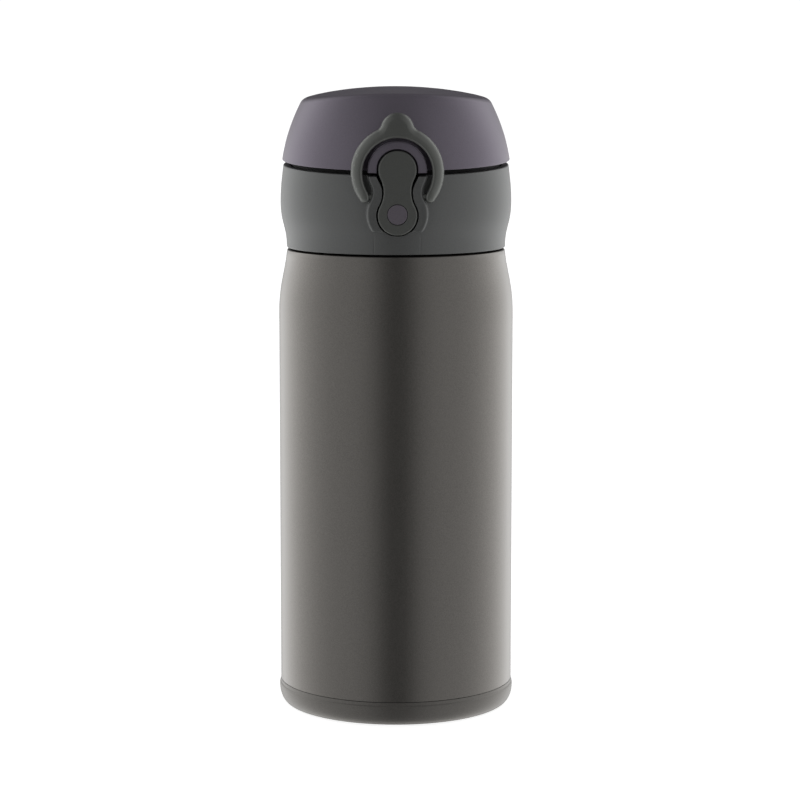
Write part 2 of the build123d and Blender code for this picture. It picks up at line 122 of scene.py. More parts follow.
hinge_y, hinge_z = (pin_low.y + pin_high.y) / 2, (pin_low.z + pin_high.z) / 2
barrel, pin_hole = 2.6, 0.95
knuckle_half, web_front, web_top = 7.45, 29.6, 161.0
ear_inner, ear_outer, ear_front, ear_foot, ear_room_front = 7.8, 11.7, 30.2, 9.5, 31.2
turning_gap = 0.35
coil_radius, coil_half, coil_wire, coil_turns = 1.45, 2.3, 0.28, 5
lower_leg, upper_leg = (0.3, 3.6), (1.6, 4.0)  # from the hinge's level, down and up
room_radius, room_half, room_low, room_high = 2.0, 2.9, 150.7, 158.7
pocket_radius, press_travel = 2.3, 1.2
rim_inner, rim_outer, rim_foot, rim_top = 28.3, 29.1, 149.3, collar_top + 2.0


# ---------------------------------------------------------------- solids as distance fields
# A field gives the distance of points to a surface, negative inside.
def both(a, b, edge=0.0):
    """What lies inside a and b, with the edge between them rounded."""
    if not edge:
        return np.maximum(a, b)
    reach = np.hypot(np.maximum(edge + a, 0), np.maximum(edge + b, 0))
    return np.minimum(-edge, np.maximum(a, b)) + reach


def either(a, b, hollow=0.0):
    """What lies inside a or b, with a fillet of radius hollow in the corner between them."""
    if not hollow:
        return np.minimum(a, b)
    reach = np.hypot(np.maximum(hollow - a, 0), np.maximum(hollow - b, 0))
    return np.maximum(hollow, np.minimum(a, b)) - reach


def without(a, b, edge=0.0):
    return both(a, -b, edge)


def disc(u, v, centre_u, centre_v, radius):
    return np.hypot(u - centre_u, v - centre_v) - radius


def slab(value, low, high):
    return np.maximum(low - value, value - high)


def waisted(x, z, top_z, top_radius, low_z, low_radius, half_waist):
    """Distance to a figure of eight: two round lobes joined by hollow arcs that touch both."""
    half = (top_z - low_z) / 2
    skew = (top_radius - low_radius) / (4 * half)
    rise = half + skew * (top_radius + low_radius)
    square = 4 * skew**2
    linear = 2 * (top_radius - half_waist) - 4 * skew * rise
    fixed = half_waist**2 + rise**2 - top_radius**2
    hollow = 2 * fixed / (linear + math.sqrt(linear**2 - 4 * square * fixed))
    middle = top_z - rise - 2 * skew * hollow
    return bridged(x, z, (top_z, top_radius), (low_z, low_radius), hollow, hollow + half_waist, middle)


def bridged(x, z, top, low, hollow, reach, middle):
    """Distance to two discs joined on both sides by hollow arcs centred at (reach, middle)."""
    side = np.abs(x)
    lobes = np.minimum(np.hypot(x, z - top[0]) - top[1], np.hypot(x, z - low[0]) - low[1])
    waist = hollow - np.hypot(side - reach, z - middle)
    under_top = (side - reach) * (top[0] - middle) + (z - middle) * reach < 0
    over_low = (side - reach) * (middle - low[0]) + (middle - z) * reach < 0
    return np.where(under_top & over_low & (side < reach), waist, lobes)


def smooth_radius(*points):
    """Radius as a smooth function of height, through points of (height, radius)."""
    height, radius = np.array(points, float).T
    gap = np.diff(height)
    n = len(points)
    system, right = np.eye(n), np.zeros(n)
    for i in range(1, n - 1):
        system[i, i - 1 : i + 2] = gap[i - 1], 2 * (gap[i - 1] + gap[i]), gap[i]
        right[i] = 3 * ((radius[i + 1] - radius[i]) / gap[i] - (radius[i] - radius[i - 1]) / gap[i - 1])
    bend = np.linalg.solve(system, right)
    fine = np.linspace(height[0], height[-1], 3000)
    i = np.clip(np.searchsorted(height, fine) - 1, 0, n - 2)
    t = fine - height[i]
    slope = (radius[i + 1] - radius[i]) / gap[i] - gap[i] * (2 * bend[i] + bend[i + 1]) / 3
    curve = radius[i] + slope * t + bend[i] * t**2 + (bend[i + 1] - bend[i]) / (3 * gap[i]) * t**3
    return lambda z: np.interp(z, fine, curve)


collar_radius = smooth_radius(
    (129.5, 30.70), (131.5, 30.76), (134.2, 31.05), (138.3, 32.0),
    (144.6, 32.42), (153.0, 31.65), (158.0, 30.9),
)
shoulder_radius = smooth_radius(
    (108, 33.0), (113, 33.0), (117.3, 32.72), (121.4, 32.08), (126.2, 31.15), (129.2, 30.72)
)


def lid_radius(z):
    """The lid's side leans in a little more with height."""
    t = np.asarray(z) - lid_foot
    return lid_foot_radius - lid_lean * t - lid_bend * t * np.abs(t)


def seam(y, z, height):
    """Height over the tilted plane that parts lid and collar, measured square to it."""
    return (z - height - seam_slope * y) / math.hypot(1, seam_slope)


def vault(x, y, z, radius):
    """Distance to the lid's top, a wide barrel vault that climbs gently to the back."""
    level = z - (lid_top - vault_radius)
    return np.hypot(x, level * math.cos(vault_tilt) - y * math.sin(vault_tilt)) - radius


def lid_field(x, y, z):
    """Lid with its hollow, the arch round the lever's upper lobe, the catch tongue and the knuckle."""
    out = np.hypot(x, y)
    upright = 0.97  # the leaning side's slope turns radii into distances
    shell = both((out - lid_radius(z)) * upright, vault(x, y, z, vault_radius), lid_edge)
    shell = both(shell, -seam(y, z, lid_foot), seam_edge)
    inside = (out - lid_radius(z) + lid_wall) * upright
    inside = both(inside, vault(x, y, z, vault_radius - lid_wall), 1.5)
    inside = both(inside, np.minimum(out - liner_radius, z - liner_step), 0.4)
    shell = without(shell, inside, 0.3)
    lobe = disc(x, z, 0, lobe_z, lobe_radius + lever_gap)
    shell = without(shell, both(lobe, y + recess_back), 0.1)
    moat = both(disc(x, z, 0, arch_z, arch_radius + moat_width), lid_radius(z) - moat_depth - out)
    shell = without(shell, both(moat, y + front_half), 0.15)
    arch = both(disc(x, z, 0, arch_z, arch_radius), out - arch_front, 0.3)
    arch = without(arch, lobe, 0.14)
    arch = both(arch, y + arch_back)
    arch = both(arch, -seam(y, z, arch_foot), 0.12)
    shell = either(shell, arch, 0.25)
    tongue = both(np.abs(x) - tongue_half, slab(y, -recess_back, -tongue_back), 0.3)
    tongue = both(tongue, slab(z, tongue_low, tongue_high), 0.3)
    shell = either(shell, tongue)
    return knuckle(shell, x, y, z)


def knuckle(shell, x, y, z):
    """Adds the lid's part of the hinge to its shell."""
    barrel_body = disc(y, z, hinge_y, hinge_z, barrel)
    web = both(slab(y, web_front, hinge_y + barrel), slab(z, hinge_z, web_top))
    lean = (y - hinge_y - barrel) * 0.88 + (z - hinge_z) * 0.47
    web = both(web, lean, 1.0)
    block = both(either(barrel_body, web, 0.6), np.abs(x) - knuckle_half, 0.5)
    shell = either(shell, block, 0.5)
    beside = slab(np.abs(x), knuckle_half, ear_outer + 0.6)
    beside = both(disc(y, z, hinge_y, hinge_z, barrel + turning_gap), beside)
    shell = without(shell, beside, 0.2)
    shell = without(shell, disc(y, z, hinge_y, hinge_z, pin_hole))
    # room for the spring's coil and upper leg
    coil_room = disc(y, z, hinge_y, hinge_z, room_radius)
    leg_room = both(np.abs(y - hinge_y + coil_radius - 0.1) - 0.6, slab(z, room_low, room_high))
    room = both(np.minimum(coil_room, leg_room), np.abs(x) - room_half)
    shell = without(shell, room, 0.1)
    # slot in which the spring's lower leg stays as the lid opens
    slot = both(slab(x, coil_half - 0.55, coil_half + 0.6), z - hinge_z - 0.1)
    return without(shell, both(slot, y - hinge_y - barrel - 1), 0.1)


def collar_field(x, y, z):
    """Outer ring of the cap unit, with the posts round the lever and the ears of the hinge."""
    out = np.hypot(x, y)
    # two faint parting lines of the mould run down from the posts
    parting = parting_depth * np.exp(-(((np.abs(x) - parting_x) / parting_width) ** 2))
    parting = parting * np.clip(post_foot - 0.4 - z, 0, 1) * (y < 0)
    shell = both(out - collar_radius(z) + parting, collar_foot - z, 0.3)
    shell = without(shell, out - collar_bore, 0.2)
    shell = both(shell, seam(y, z, collar_top), seam_edge)
    posts = waisted(x, z, arch_z, arch_radius, post_z, post_radius, post_waist)
    posts = both(posts, -post_front - y, 0.65)
    posts = both(both(posts, post_foot - z, 0.5), y + collar_bore + 0.4)
    posts = both(posts, seam(y, z, collar_top), 0.15)
    shell = either(shell, posts, 0.3)
    top, low, half_waist = lobe_radius + lobe_gap, thumb_radius + lever_gap, lever_waist + lever_gap
    hole = waisted(x, z, lobe_z, top, thumb_z, low, half_waist)
    shell = without(shell, both(hole, y + front_half), 0.14)
    return ears(shell, x, y, z)


def ears(shell, x, y, z):
    """Adds the collar's part of the hinge: two ears with room for the lid's knuckle between."""
    barrel_body = disc(y, z, hinge_y, hinge_z, barrel)
    foot = both(slab(y, ear_front, hinge_y + barrel), slab(z, hinge_z - ear_foot - 1, hinge_z))
    lean = (y - hinge_y - barrel) * 0.87 - (z - hinge_z + 2.5) * 0.49
    foot = both(foot, lean, 1.5)
    block = both(either(barrel_body, foot, 0.5), np.abs(x) - ear_outer, 0.6)
    shell = either(shell, block, 0.6)
    room = both(both(np.abs(x) - ear_inner, ear_room_front - y), hinge_z - ear_foot - z, 0.8)
    shell = without(shell, room, 0.3)
    return without(shell, disc(y, z, hinge_y, hinge_z, pin_hole - 0.03))


def ring_field(x, y, z):
    """Lock ring: a bowed ring with a finger tab, open below, on two trunnions."""
    depth = np.hypot(x, y - ring_bow)
    swing = np.hypot(y - ring_pivot[0], z - ring_pivot[1])
    rise = tab_z - ring_z
    middle = ((ring_outer + tab_hollow) ** 2 - (tab_radius + tab_hollow) ** 2 + rise**2) / (2 * rise)
    reach = math.sqrt((ring_outer + tab_hollow) ** 2 - middle**2)
    flat = bridged(x, z, (tab_z, tab_radius), (ring_z, ring_outer), tab_hollow, reach, ring_z + middle)
    body = both(flat, depth - ring_front - ring_bow, 2.0)
    body = without(body, disc(x, z, 0, ring_hole_z, ring_inner), 0.95)
    body = both(body, ring_back + ring_bow - depth, 0.5)
    # round ends below the pivot, and room beside the posts as the ring swings
    above = z - ring_pivot[1]
    end = np.hypot(y - ring_pivot[0], np.minimum(above, 0)) - ring_end_radius - 0.3 * np.maximum(above, 0)
    body = both(body, end, 0.5)
    body = without(body, np.hypot(x, swing - ring_pivot[1] + post_z) - post_radius - 0.15, 0.5)
    # room for the lid's arch as the lid opens
    sweep = math.hypot(arch_front + hinge_y, arch_z + arch_radius - hinge_z) - arch_front
    path = np.hypot(x, np.hypot(y - hinge_y, z - hinge_z) - sweep) - arch_front - turning_gap
    path = both(both(path, np.abs(x) - arch_radius - 0.4), hinge_z - z)
    body = without(body, path, 0.2)
    trunnion = both(disc(y, z, *ring_pivot, trunnion_radius), slab(np.abs(x), trunnion_end, ring_end_x))
    return either(body, trunnion)


def lever_field(x, y, z):
    """Push lever with its crowned face, the hub at its waist and the dish for the thumb dot."""
    face = waisted(x, z, lobe_z, lobe_radius, thumb_z, thumb_radius, lever_waist)
    crown = disc(y, z, crown_radius - lever_front, crown_z, crown_radius)
    body = both(face, crown, 0.42)
    body = both(body, y + lever_back, 0.3)
    hub = both(disc(y, z, *lever_pivot, hub_radius), np.abs(x) - hub_half, 0.2)
    body = either(body, hub)
    dish = both(disc(x, z, 0, dot_centre, dot_radius + dish_gap), y + dot_front - dish_depth)
    body = without(body, dish, 0.08)
    # pocket for the button spring, as deep as the spring's seat travels
    pocket = both(disc(x, z, 0, thumb_z, pocket_radius), -y - lever_back - press_travel)
    body = without(body, pocket, 0.15)
    return without(body, disc(y, z, *lever_pivot, lever_pin_radius))


def dot_field(x, y, z):
    """Thumb dot, a hair below the lever's crowned face."""
    face = disc(y, z, crown_radius - lever_front, crown_z, crown_radius) + 0.04
    return both(both(disc(x, z, 0, dot_centre, dot_radius), face, 0.16), y + dot_front - dot_depth)


# ---------------------------------------------------------------- meshes from fields
def stations(*spans):
    """Grid stations over spans of (start, end, spacing), each span beginning where the last ended."""
    rows = [np.linspace(a, b, max(2, round((b - a) / step) + 1))[:-1] for a, b, step in spans]
    return np.concatenate(rows + [[spans[-1][1]]])


def straight(x, y, z):
    return x, y, z


def round_the_axis(lean, crown=None):
    """Turns (angle from the front, radius, level) into a point.

    The levels tilt with the seam by lean, and bend with the lid's top by crown."""

    def place(angle, radius, level):
        x, y = radius * np.sin(angle), -radius * np.cos(angle)
        height = level + seam_slope * y * lean(level)
        if crown:
            sag = np.sqrt(vault_radius**2 - x**2) - vault_radius * math.cos(vault_tilt)
            height = height + crown(level) * (sag + y * math.sin(vault_tilt)) / math.cos(vault_tilt)
        return x, y, height

    return place


def slopes(points, field, step=0.02):
    rows = []
    for axis in np.eye(3) * step:
        rows.append((field(*(points + axis).T) - field(*(points - axis).T)) / (2 * step))
    return np.stack(rows, axis=1)


def settled(points, field, rounds):
    """Points brought onto the field's zero surface."""
    for _ in range(rounds):
        slope = slopes(points, field)
        gap = field(*points.T) / np.maximum((slope**2).sum(1), 0.05)
        points = points - np.clip(gap, -0.4, 0.4)[:, None] * slope
    return points


def surface(field, axes, place, loop):
    """Quads over the field's zero surface, one corner in each grid cell that it passes."""
    nodes = np.meshgrid(*axes, indexing="ij")
    value = field(*place(*nodes))
    del nodes
    cells = tuple(n - 1 for n in value.shape)
    total, count = np.zeros(cells + (3,)), np.zeros(cells)
    crossings = []
    for axis in range(3):
        low = np.take(value, range(value.shape[axis] - 1), axis)
        high = np.take(value, range(1, value.shape[axis]), axis)
        cross = (low < 0) != (high < 0)
        crossings.append((cross, low < 0))
        where = np.nonzero(cross)
        share = low[where] / (low[where] - high[where])
        at = np.stack([axes[k][where[k]] for k in range(3)], axis=1)
        at[:, axis] += share * np.diff(axes[axis])[where[axis]]
        others = [k for k in range(3) if k != axis]
        for back_a in (0, 1):
            for back_b in (0, 1):
                cell = list(where)
                cell[others[0]] = cell[others[0]] - back_a
                cell[others[1]] = cell[others[1]] - back_b
                real = np.all([(cell[k] >= 0) & (cell[k] < cells[k]) for k in range(3)], axis=0)
                if loop and others[0] == 0:
                    real |= (cell[0] < 0) & (cell[others[1]] >= 0) & (cell[others[1]] < cells[others[1]])
                cell = tuple(c[real] for c in cell)
                moved = at[real].copy()
                if loop:
                    moved[cell[0] < 0, 0] += 2 * math.pi
                np.add.at(total, cell, moved)
                np.add.at(count, cell, 1)
    used = count > 0
    ids = np.full(cells, -1)
    ids[used] = np.arange(used.sum())
    inner = total[used] / count[used][:, None]
    points = np.stack(place(*inner.T), axis=1)
    empty = np.full_like(ids[:1], -1)
    padded = np.concatenate([ids[-1:] if loop else empty, ids, empty], axis=0)
    padded = np.pad(padded, ((0, 0), (1, 1), (1, 1)), constant_values=-1)
    quads = []
    for axis in range(3):
        cross, filled = crossings[axis]
        where = np.nonzero(cross)
        b, c = (axis + 1) % 3, (axis + 2) % 3
        loops = []
        for db, dc in ((0, 0), (1, 0), (1, 1), (0, 1)):
            cell = [w.copy() for w in where]
            cell[axis] += 1
            cell[b] += db
            cell[c] += dc
            loops.append(padded[tuple(cell)])
        quad = np.stack(loops, axis=1)
        back = ~filled[where]
        quad[back] = quad[back][:, ::-1]
        quads.append(quad[(quad >= 0).all(1)])
    return points, np.concatenate(quads)


def evened(points, quads, field, rounds):
    """Corners slid along the surface towards the middle of their neighbours."""
    start, end = quads.ravel(), np.roll(quads, -1, axis=1).ravel()
    count = np.maximum(np.bincount(start, minlength=len(points)), 1)
    for _ in range(rounds):
        middle = np.stack([np.bincount(start, points[end, k], len(points)) for k in range(3)], axis=1)
        move = middle / count[:, None] - points
        normal = slopes(points, field)
        normal /= np.maximum(np.linalg.norm(normal, axis=1), 1e-6)[:, None]
        move -= (move * normal).sum(1)[:, None] * normal
        points = settled(points + 0.4 * move, field, 1)
    return points


def carved(name, field, axes, place=straight, loop=False, even=3, axis_cell=0.0):
    """A mesh object over a field's surface.  Corners nearer the flask's axis than axis_cell join."""
    points, quads = surface(field, axes, place, loop)
    points = settled(points, field, 3)
    points = evened(points, quads, field, even)
    points = settled(points, field, 2)
    if axis_cell:
        near = np.hypot(points[:, 0], points[:, 1]) < axis_cell
        heights = np.round(points[near, 2])
        for level in np.unique(heights):
            members = np.nonzero(near)[0][heights == level]
            points[members] = (0, 0, points[members, 2].mean())
            quads = np.where(np.isin(quads, members), members[0], quads)
    corner = [points[quads[:, k]] for k in range(4)]
    volume = (corner[0] * np.cross(corner[1], corner[2]) + corner[0] * np.cross(corner[2], corner[3])).sum()
    if volume < 0:
        quads = quads[:, ::-1]
    faces = [list(dict.fromkeys(q)) for q in quads.tolist()]
    return solid(name, points, [f for f in faces if len(f) > 2], slopes(points, field))


def solid(name, points, faces, normals=None):
    """A smooth-shaded mesh object from points in millimetres."""
    mesh = bpy.data.meshes.new(name)
    mesh.from_pydata((np.asarray(points) * MM).tolist(), [], faces)
    mesh.validate()
    mesh.polygons.foreach_set("use_smooth", [True] * len(mesh.polygons))
    if normals is not None and len(mesh.vertices) == len(normals):
        length = np.maximum(np.linalg.norm(normals, axis=1), 1e-9)
        mesh.normals_split_custom_set_from_vertices((normals / length[:, None]).tolist())
    mesh.update()
    made = bpy.data.objects.new(name, mesh)
    bpy.context.scene.collection.objects.link(made)
    return made


def outline(*points):
    """A section as (radius, height) corners, each with its own rounding as a third number."""
    made = []
    n = len(points)
    for i, point in enumerate(points):
        here = np.array(point[:2], float)
        bend = point[2] if len(point) > 2 else 0
        if not bend:
            made.append(here)
            continue
        back, ahead = (np.array(points[(i + k) % n][:2], float) - here for k in (-1, 1))
        back, ahead = back / np.linalg.norm(back), ahead / np.linalg.norm(ahead)
        half = math.acos(np.clip(back @ ahead, -1, 1)) / 2
        start = here + back * bend / math.tan(half)
        middle = (back + ahead) / np.linalg.norm(back + ahead)
        centre = here + middle * bend / math.sin(half)
        first = start - centre
        turn = math.pi - 2 * half
        sense = math.copysign(1, first[0] * (here - centre)[1] - first[1] * (here - centre)[0])
        steps = max(3, round(turn / 0.22))
        for angle in np.linspace(0, sense * turn, steps + 1):
            c, s = math.cos(angle), math.sin(angle)
            made.append(centre + (c * first[0] - s * first[1], s * first[0] + c * first[1]))
    return made


def along(radius, low, high, spacing, thinner=0.0):
    """Points of a curved wall between two heights, in either direction."""
    count = max(2, round(abs(high - low) / spacing) + 1)
    return [(float(radius(z)) - thinner, z) for z in np.linspace(low, high, count)]


def turned(name, section, count=288):
    """A closed section turned about the flask's axis."""
    section = np.array(section)
    angles = np.linspace(0, 2 * math.pi, count, endpoint=False)
    points = [
        (r * math.sin(a), -r * math.cos(a), z)
        for r, z in section
        for a in angles
    ]
    rows = len(section)
    faces = []
    for i in range(rows):
        j = (i + 1) % rows
        for k in range(count):
            m = (k + 1) % count
            faces.append((i * count + k, i * count + m, j * count + m, j * count + k))
    return flat_corners(solid(name, points, faces))


def flat_corners(made, limit=35):
    """Marks the edges that turn by more than limit degrees as sharp."""
    work = bmesh.new()
    work.from_mesh(made.data)
    bmesh.ops.recalc_face_normals(work, faces=work.faces)
    for edge in work.edges:
        if len(edge.link_faces) == 2 and edge.calc_face_angle(0) > math.radians(limit):
            edge.smooth = False
    work.to_mesh(made.data)
    work.free()
    return made


def screw_ridge(name, radius, outward, start, turns):
    """One screw thread on a cylinder, running out to nothing at both ends."""
    section = [(-0.35, -1.2), (0.0, -1.02), (0.75, -0.62), (0.95, -0.42), (1.0, 0.0)]
    section += [(u, -v) for u, v in section[-2::-1]]
    steps = round(turns * 120)
    sense = 1 if outward else -1
    points = []
    for step in range(steps + 1):
        angle = step / steps * turns * 2 * math.pi
        swell = math.sin(min(1, min(step, steps - step) / 14) * math.pi / 2)
        for u, v in section:
            r = radius + sense * (u * thread_height * swell - 0.05 * (1 - swell))
            z = start + angle / (2 * math.pi) * thread_lead + v * (0.35 + 0.65 * swell)
            points.append((r * math.cos(angle), r * math.sin(angle), z))
    n = len(section)
    faces = [
        (i * n + k, i * n + (k + 1) % n, (i + 1) * n + (k + 1) % n, (i + 1) * n + k)
        for i in range(steps)
        for k in range(n)
    ]
    faces += [tuple(range(n)), tuple(range(steps * n, (steps + 1) * n))[::-1]]
    return flat_corners(solid(name, points, faces), 50)


def wire(name, path, radius, across, sides=12):
    """A round wire along a path that runs roughly square to the direction across."""
    path = np.array(path, float)
    ahead = np.gradient(path, axis=0)
    up = np.cross(ahead, across)
    up /= np.linalg.norm(up, axis=1)[:, None]
    aside = np.cross(ahead, up)
    aside /= np.linalg.norm(aside, axis=1)[:, None]
    # the two ends narrow to small flats, like cut and deburred wire
    path = np.concatenate([path[:1], path, path[-1:]])
    up, aside = (np.concatenate([v[:1], v, v[-1:]]) for v in (up, aside))
    end_reach, end_radius = 0.08, 0.7 * radius
    path[0] -= ahead[0] / np.linalg.norm(ahead[0]) * end_reach
    path[-1] += ahead[-1] / np.linalg.norm(ahead[-1]) * end_reach
    size = np.full(len(path), radius)
    size[[0, -1]] = end_radius
    turn = np.linspace(0, 2 * math.pi, sides, endpoint=False)
    rings = [
        centre + r * (np.outer(np.cos(turn), u) + np.outer(np.sin(turn), v))
        for centre, u, v, r in zip(path, up, aside, size)
    ]
    faces = [
        (i * sides + k, i * sides + (k + 1) % sides, (i + 1) * sides + (k + 1) % sides, (i + 1) * sides + k)
        for i in range(len(rings) - 1)
        for k in range(sides)
    ]
    last = (len(rings) - 1) * sides
    faces += [tuple(range(sides))[::-1], tuple(range(last, last + sides))]
    return flat_corners(solid(name, np.concatenate(rings), faces), 50)


# ---------------------------------------------------------------- materials
class Surface:
    """A node material with one Principled shader and helpers for what feeds it."""

    def __init__(self, name):
        self.material = bpy.data.materials.new(name)
        self.material.use_nodes = True
        self.tree = self.material.node_tree
        self.shader = self.tree.nodes["Principled BSDF"]
        self.place = self.node("ShaderNodeTexCoord").outputs["Object"]
        self.height = None

    def node(self, kind, **settings):
        made = self.tree.nodes.new(kind)
        for key, value in settings.items():
            setattr(made, key, value)
        return made

    def link(self, source, target):
        self.tree.links.new(source, target)

    def stretched(self, scale):
        mapping = self.node("ShaderNodeMapping")
        mapping.inputs["Scale"].default_value = scale
        self.link(self.place, mapping.inputs["Vector"])
        return mapping.outputs["Vector"]

    def noise(self, grains_per_metre, detail=2.0, stretch=None):
        made = self.node("ShaderNodeTexNoise")
        made.inputs["Scale"].default_value = grains_per_metre
        made.inputs["Detail"].default_value = detail
        self.link(self.stretched(stretch) if stretch else self.place, made.inputs["Vector"])
        return made.outputs["Fac"]

    def flakes(self, flakes_per_metre):
        made = self.node("ShaderNodeTexVoronoi")
        made.inputs["Scale"].default_value = flakes_per_metre
        self.link(self.place, made.inputs["Vector"])
        return made.outputs["Color"]

    def ranged(self, source, low, high, from_low=0.3, from_high=0.7):
        made = self.node("ShaderNodeMapRange")
        limits = {"From Min": from_low, "From Max": from_high, "To Min": low, "To Max": high}
        for socket, value in limits.items():
            made.inputs[socket].default_value = value
        self.link(source, made.inputs["Value"])
        return made.outputs["Result"]

    def blended(self, factor, first, second):
        made = self.node("ShaderNodeMix", data_type="RGBA")
        self.link(factor, made.inputs["Factor"])
        for value, socket in ((first, made.inputs[6]), (second, made.inputs[7])):
            if isinstance(value, tuple):
                socket.default_value = (*value, 1)
            else:
                self.link(value, socket)
        return made.outputs[2]

    def bump(self, source, depth_mm, strength=1.0):
        made = self.node("ShaderNodeBump")
        made.inputs["Strength"].default_value = strength
        made.inputs["Distance"].default_value = depth_mm * MM
        self.link(source, made.inputs["Height"])
        if self.height:
            self.link(self.height, made.inputs["Normal"])
        self.height = made.outputs["Normal"]
        self.link(self.height, self.shader.inputs["Normal"])

    def edges(self, low=0.54, high=0.62):
        """1 on outward edges and 0 elsewhere, and 0 near the flask's axis."""
        reach = self.node("ShaderNodeVectorMath", operation="LENGTH")
        self.link(self.stretched((1, 1, 0)), reach.inputs[0])
        pointed = self.ranged(self.node("ShaderNodeNewGeometry").outputs["Pointiness"], 0, 1, low, high)
        mask = self.node("ShaderNodeMath", operation="MULTIPLY")
        self.link(pointed, mask.inputs[0])
        self.link(self.ranged(reach.outputs["Value"], 0, 1, 18 * MM, 24 * MM), mask.inputs[1])
        return mask.outputs[0]

    def mottled(self, pattern, colour, darkest, lightest, from_low=0.3, from_high=0.7):
        """The colour varied by a pattern between two shares of its lightness."""
        share = self.ranged(pattern, 0, 1, from_low, from_high)
        return self.blended(share, lighter(colour, darkest), lighter(colour, lightest))

    def set(self, **values):
        for key, value in values.items():
            self.shader.inputs[key.replace("_", " ")].default_value = value

    def feed(self, socket, source):
        self.link(source, self.shader.inputs[socket])


def lighter(colour, by):
    return tuple(min(1.0, c * by) for c in colour)


def moulded(name, colour, rough=0.5, grain_mm=0.32, depth_mm=0.03, edge_highlight=1.35, pearl=0.6):
    """Spark-textured pearly plastic with faint mottling, and a painted highlight that lightens its outward
    edges.
    """
    made = Surface(name)
    grain = made.noise(1 / (grain_mm * MM), 3.0)
    cloud = made.noise(90, 2.0)
    tone = made.mottled(grain, colour, 0.93, 1.07)
    tone = made.blended(made.ranged(cloud, 0, 0.25), tone, lighter(colour, 1.12))
    # painted highlight: outward edges lightened where they would catch the light
    tone = made.blended(made.edges(), tone, lighter(colour, edge_highlight))
    made.feed("Base Color", tone)
    made.feed("Roughness", made.ranged(grain, rough - 0.04, rough + 0.05))
    made.bump(grain, depth_mm, 0.5)
    made.bump(made.noise(1 / (0.11 * MM), 1.0), depth_mm * 0.4, 0.35)
    made.set(Metallic=pearl)
    return made.material


def painted(name, colour, rough=0.32):
    """Satin metallic paint: fine flakes under a thin clear coat with slight orange peel."""
    made = Surface(name)
    flake = made.flakes(1 / (0.16 * MM))
    cloud = made.noise(60, 2.0)
    tone = made.mottled(flake, colour, 0.86, 1.16, 0.1, 0.9)
    tone = made.blended(made.ranged(cloud, 0, 0.3), tone, lighter(colour, 1.06))
    made.feed("Base Color", tone)
    made.feed("Roughness", made.ranged(flake, rough - 0.03, rough + 0.04, 0.1, 0.9))
    made.bump(made.noise(1 / (1.1 * MM), 2.0), 0.004, 0.5)
    made.bump(flake, 0.004, 0.25)
    made.set(Metallic=0.95, Coat_Weight=0.1, Coat_Roughness=0.2)
    return made.material


def steel(name, colour, rough, direction):
    """Bare steel with fine drawing or turning lines."""
    made = Surface(name)
    lines = made.noise(1500, 2.0, direction)
    made.feed("Base Color", made.mottled(lines, colour, 0.88, 1.08))
    made.feed("Roughness", made.ranged(lines, rough - 0.07, rough + 0.08))
    made.bump(lines, 0.003, 0.3)
    made.set(Metallic=1.0)
    return made.material


def rubber(name, colour, rough=0.55):
    """Translucent silicone with a soft bloom of dust."""
    made = Surface(name)
    dust = made.noise(2200, 4.0)
    made.feed("Base Color", made.mottled(dust, colour, 0.94, 1.04))
    made.feed("Roughness", made.ranged(dust, rough - 0.05, rough + 0.08))
    made.bump(made.noise(900, 2.0), 0.02, 0.3)
    made.set(Subsurface_Weight=0.15, Subsurface_Scale=0.002)
    return made.material


body_paint = painted("body_paint", (0.205, 0.195, 0.182))
cup_paint = painted("cup_paint", (0.19, 0.182, 0.17), 0.44)
lid_plastic = moulded("lid_plastic", (0.212, 0.19, 0.232), 0.44, edge_highlight=1.1)
collar_plastic = moulded("collar_plastic", (0.168, 0.172, 0.17), 0.44, edge_highlight=1.12)
latch_plastic = moulded("latch_plastic", (0.172, 0.178, 0.168), 0.38, 0.24, 0.02)
dot_plastic = moulded("dot_plastic", (0.225, 0.200, 0.235), 0.45)
inner_plastic = moulded("inner_plastic", (0.022, 0.022, 0.024), 0.42, pearl=0.2)
# near-black colour painted as shade for the rim inside the seam
painted_shade_rim = moulded("painted_shade_rim", (0.006, 0.006, 0.007), 0.7, pearl=0.0)
spout_plastic = moulded("spout_plastic", (0.034, 0.034, 0.037), 0.34, 0.2, 0.012, pearl=0.3)
clear_rubber = rubber("clear_rubber", (0.62, 0.60, 0.56))
drawn_steel = steel("drawn_steel", (0.62, 0.60, 0.57), 0.3, (1, 1, 0.02))
# pins darkened as painted shade, so they show no glint through the lever's gap
pin_steel = steel("pin_steel", (0.09, 0.09, 0.09), 0.38, (0.02, 1, 1))
spring_steel = steel("spring_steel", (0.45, 0.45, 0.46), 0.3, (1, 1, 1))
copper_foil = steel("copper_foil", (0.8, 0.42, 0.26), 0.3, (1, 1, 0.1))
dull_solder = steel("dull_solder", (0.5, 0.5, 0.5), 0.45, (1, 1, 1))
getter_metal = steel("getter_metal", (0.32, 0.31, 0.3), 0.6, (1, 1, 1))


def finish_with(made, material):
    made.data.materials.clear()
    made.data.materials.append(material)


def fitted(made, material, body, slot, *nodes):
    """Puts a finish on a new piece, makes it ride with its body and stand for its CAD nodes."""
    finish_with(made, material)
    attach(made, body)
    if nodes:
        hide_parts(*nodes)
    return made


